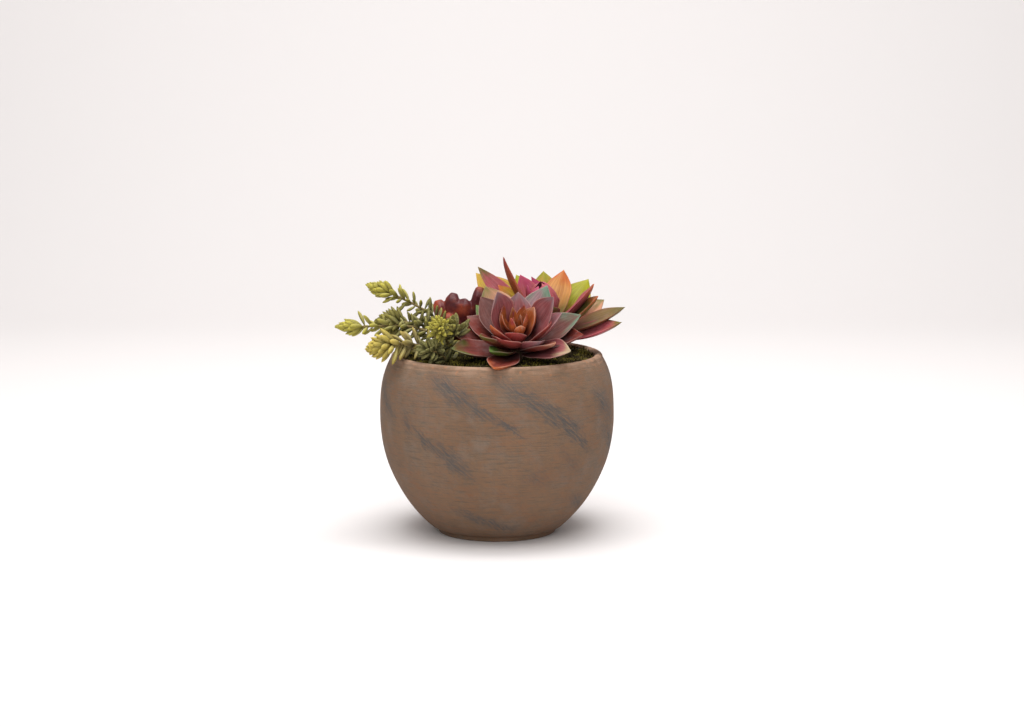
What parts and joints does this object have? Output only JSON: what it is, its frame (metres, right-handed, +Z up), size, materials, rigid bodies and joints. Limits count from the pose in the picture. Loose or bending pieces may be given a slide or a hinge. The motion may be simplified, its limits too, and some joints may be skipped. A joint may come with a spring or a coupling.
{
  "type": "potted succulent arrangement",
  "caption": "Round-bellied earthenware bowl planted with two leaf rosettes, a red succulent and trailing sedum sprigs, set in potting mix under moss.",
  "frame": {"origin": "centre of the bowl's flat foot, on the surface it stands on, on the bowl's own axis", "axes": "+Z up along the bowl's axis, -Y to the front of the arrangement, where the large rosette leans out, +X to its right; the sedum hangs over the left"},
  "size_m": [0.2214, 0.1794, 0.2114],
  "materials": {
    "bowl": "matte fired clay, brown-taupe, brushed with a grey slip that leaves slanting slate-grey smears, rubbed lighter at the rim",
    "potting_mix": "loose dark bark and coir potting mix",
    "moss": "dark olive cushion moss with yellow-green tips",
    "rosette_stem": "dry brown leaf-scarred stem",
    "front_leaf": "fleshy leaf with a waxy bloom: dusty mauve, rose towards the stem, pale edges and some green tips",
    "back_leaf": "fleshy leaf: yellow-green to peach, rose towards its edges and tip, magenta in the heart",
    "red_leaf": "smooth fat leaf, burgundy to brick red",
    "sedum": "small plump leaves with a mealy whitish bloom, yellow-green at the heads and grey-green below"
  },
  "bodies": {
    "root": {"back_rosette_leaf_01": "back_leaf", "back_rosette_leaf_02": "back_leaf", "back_rosette_leaf_03": "back_leaf", "back_rosette_leaf_04": "back_leaf", "back_rosette_leaf_05": "back_leaf", "back_rosette_leaf_06": "back_leaf", "back_rosette_leaf_07": "back_leaf", "back_rosette_leaf_08": "back_leaf", "back_rosette_leaf_09": "back_leaf", "back_rosette_leaf_10": "back_leaf", "back_rosette_leaf_11": "back_leaf", "back_rosette_leaf_12": "back_leaf", "back_rosette_leaf_13": "back_leaf", "back_rosette_leaf_14": "back_leaf", "back_rosette_leaf_15": "back_leaf", "back_rosette_leaf_16": "back_leaf", "back_rosette_leaf_17": "back_leaf", "back_rosette_leaf_18": "back_leaf", "back_rosette_leaf_19": "back_leaf", "back_rosette_leaf_20": "back_leaf", "back_rosette_leaf_21": "back_leaf", "back_rosette_leaf_22": "back_leaf", "back_rosette_stem": "rosette_stem", "bowl": "bowl", "front_rosette_leaf_01": "front_leaf", "front_rosette_leaf_02": "front_leaf", "front_rosette_leaf_03": "front_leaf", "front_rosette_leaf_04": "front_leaf", "front_rosette_leaf_05": "front_leaf", "front_rosette_leaf_06": "front_leaf", "front_rosette_leaf_07": "front_leaf", "front_rosette_leaf_08": "front_leaf", "front_rosette_leaf_09": "front_leaf", "front_rosette_leaf_10": "front_leaf", "front_rosette_leaf_11": "front_leaf", "front_rosette_leaf_12": "front_leaf", "front_rosette_leaf_13": "front_leaf", "front_rosette_leaf_14": "front_leaf", "front_rosette_leaf_15": "front_leaf", "front_rosette_leaf_16": "front_leaf", "front_rosette_leaf_17": "front_leaf", "front_rosette_leaf_18": "front_leaf", "front_rosette_leaf_19": "front_leaf", "front_rosette_leaf_20": "front_leaf", "front_rosette_leaf_21": "front_leaf", "front_rosette_leaf_22": "front_leaf", "front_rosette_leaf_23": "front_leaf", "front_rosette_leaf_24": "front_leaf", "front_rosette_leaf_25": "front_leaf", "front_rosette_stem": "rosette_stem", "moss": "moss", "potting_mix": "potting_mix", "red_succulent": "red_leaf", "sprig_beside": "sedum", "sprig_facing": "sedum", "sprig_far_left": "sedum", "sprig_low_front": "sedum", "sprig_low_left": "sedum", "sprig_middle_left": "sedum", "sprig_upper_left": "sedum"}
  },
  "joints": []
}
